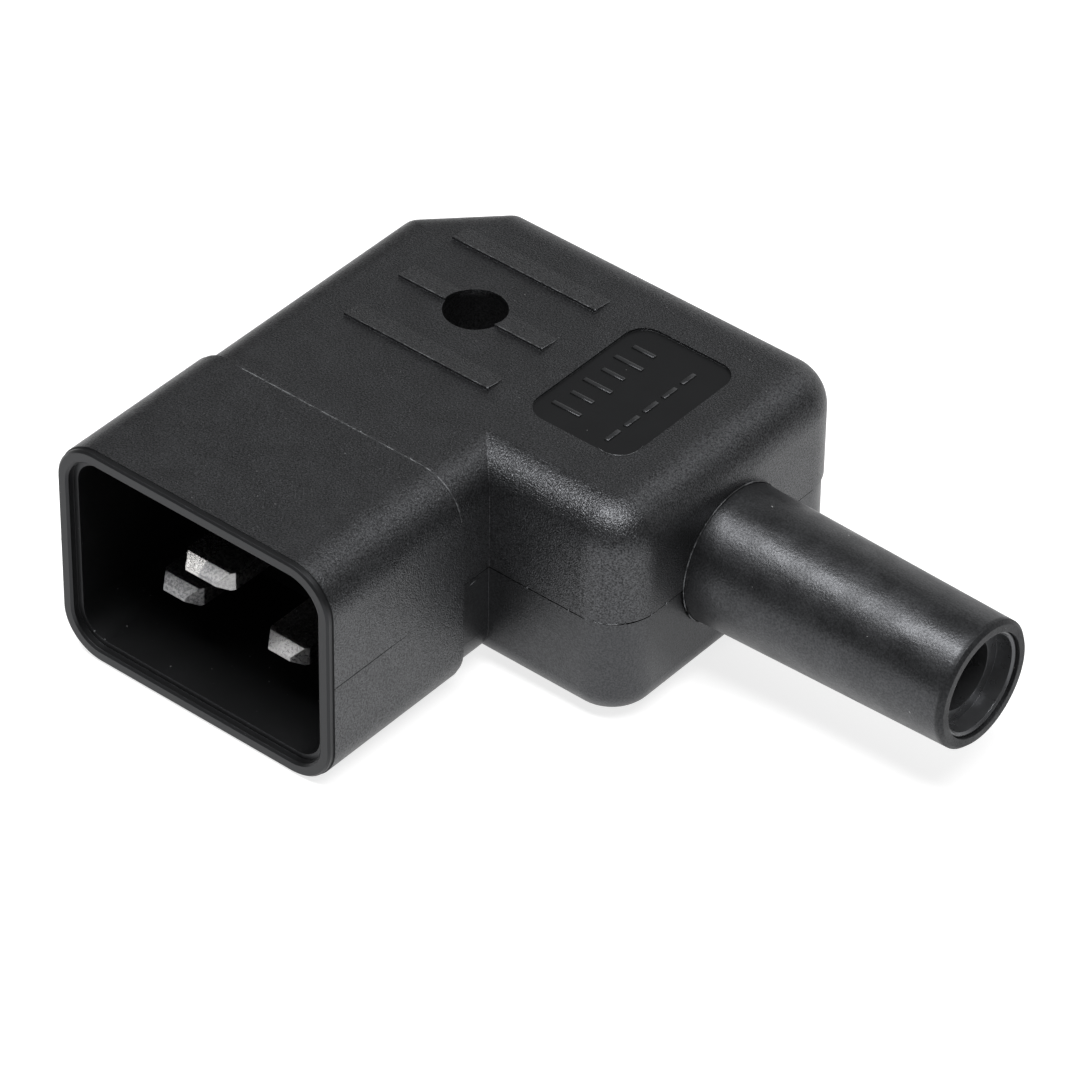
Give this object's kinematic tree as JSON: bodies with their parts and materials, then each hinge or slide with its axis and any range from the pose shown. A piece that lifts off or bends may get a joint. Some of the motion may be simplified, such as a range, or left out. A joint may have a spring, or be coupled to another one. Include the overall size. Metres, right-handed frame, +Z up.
{
  "type": "angled power connector",
  "caption": "Right-angled rewirable power connector with a shrouded face, flat blades, a two-part housing and a rubber sleeve for the cord.",
  "frame": {"origin": "middle of the shroud's mouth, on the plane of its front face", "axes": "-Y is the way the plug faces, +X is the way the cord leaves, +Z is up, towards the side with the screw well"},
  "size_m": [0.0774, 0.0562, 0.0248],
  "materials": {
    "housing_plastic": "black thermoplastic with a fine spark-eroded texture",
    "shroud_plastic": "black thermoplastic, fine texture outside, smooth inside",
    "sleeve_rubber": "satin black rubber",
    "bush_plastic": "smooth black plastic",
    "clamp_plastic": "plain black plastic",
    "screw_steel": "zinc-plated steel",
    "insert_brass": "turned brass",
    "blade_metal": "bright nickel-plated copper alloy"
  },
  "bodies": {
    "root": {"upper_shell": "housing_plastic", "lower_shell": "housing_plastic", "shroud_insert": "shroud_plastic", "contact_plate": "shroud_plastic", "cord_sleeve": "sleeve_rubber", "cord_bush": "bush_plastic", "cord_clamp": "clamp_plastic", "front_clamp_screw": "screw_steel", "rear_clamp_screw": "screw_steel", "housing_screw": "screw_steel", "threaded_insert": "insert_brass", "line_pin": "blade_metal", "neutral_pin": "blade_metal", "earth_pin": "blade_metal", "line_terminal_screw": "screw_steel", "neutral_terminal_screw": "screw_steel", "earth_terminal_screw": "screw_steel", "line_wire_plate": "screw_steel", "neutral_wire_plate": "screw_steel", "earth_wire_plate": "screw_steel"}
  },
  "joints": []
}
